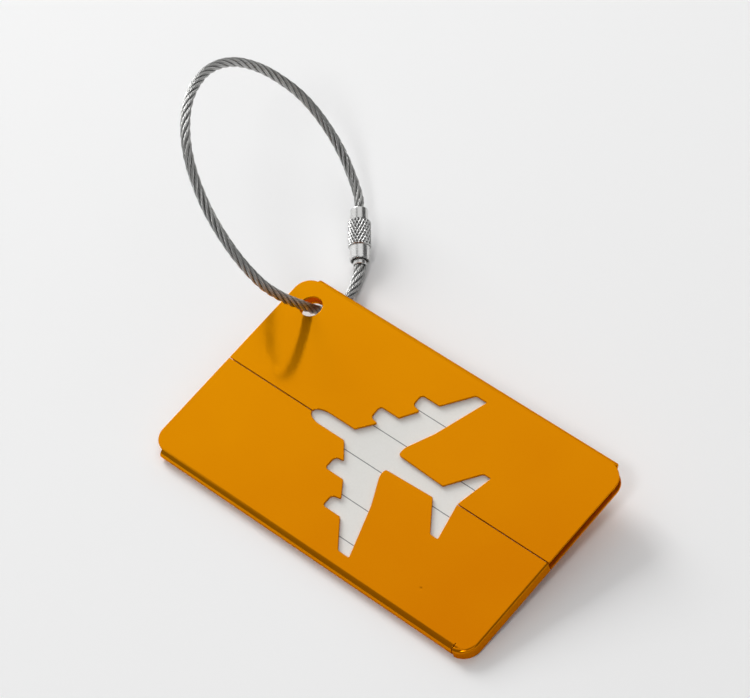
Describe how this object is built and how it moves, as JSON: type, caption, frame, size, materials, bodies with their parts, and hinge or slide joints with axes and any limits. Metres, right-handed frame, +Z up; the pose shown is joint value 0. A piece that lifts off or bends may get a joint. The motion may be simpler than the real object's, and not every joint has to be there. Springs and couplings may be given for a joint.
{
  "type": "luggage tag",
  "caption": "Sheet-metal luggage tag: two sliding anodised shells with an aeroplane cut-out over an address card, on a steel wire loop that closes with a screw clasp.",
  "frame": {"origin": "on the surface the tag lies on, under the middle of the closed shells", "axes": "+X along the tag, from the end with the wire hole to the end with the bent wall; +Y across it, towards the edge nearer the hole; +Z up. The tag leans back 9.1 degrees about X, so its front face's normal is (0, -0.1582, 0.9874)"},
  "size_m": [0.1114, 0.0755, 0.045],
  "materials": {
    "gold_anodised": "glossy gold-orange anodised",
    "card": "matt white card with thin ruled lines",
    "wire": "bright twisted steel strands",
    "steel": "turned satin steel",
    "knurled_steel": "diamond-knurled satin steel"
  },
  "bodies": {
    "upper_shell": {"upper_shell": "gold_anodised"},
    "lower_shell": {"lower_shell": "gold_anodised", "id_card": "card"},
    "wire_loop": {"wire_rope": "wire", "swivel_ferrule": "steel"},
    "barrel_nut": {"barrel_nut": "knurled_steel"},
    "stud_ferrule": {"stud_ferrule": "steel"}
  },
  "joints": [
    {"name": "shell_slide", "type": "slide", "parent": "upper_shell", "child": "lower_shell", "axis": [1, 0, 0], "range_m": [0, 0.072]},
    {"name": "loop_swivel", "type": "hinge", "parent": "upper_shell", "child": "wire_loop", "pos_m": [-0.0343, 0.01748, 0.00765], "axis": [0, -0.1582, 0.9874], "range_deg": [-90, 90]},
    {"name": "nut_turn", "type": "hinge", "parent": "wire_loop", "child": "barrel_nut", "pos_m": [-0.03905, 0.03554, 0.00204], "axis": [-0.6357, 0.7252, 0.2647], "range_deg": [0, 1440]},
    {"name": "stud_travel", "type": "slide", "parent": "wire_loop", "child": "stud_ferrule", "axis": [-0.6357, 0.7252, 0.2647], "range_m": [0, 0.002]}
  ],
  "couplings": [
    {"joint": "nut_turn", "follows": "stud_travel", "rad_per_m": 12566}
  ]
}
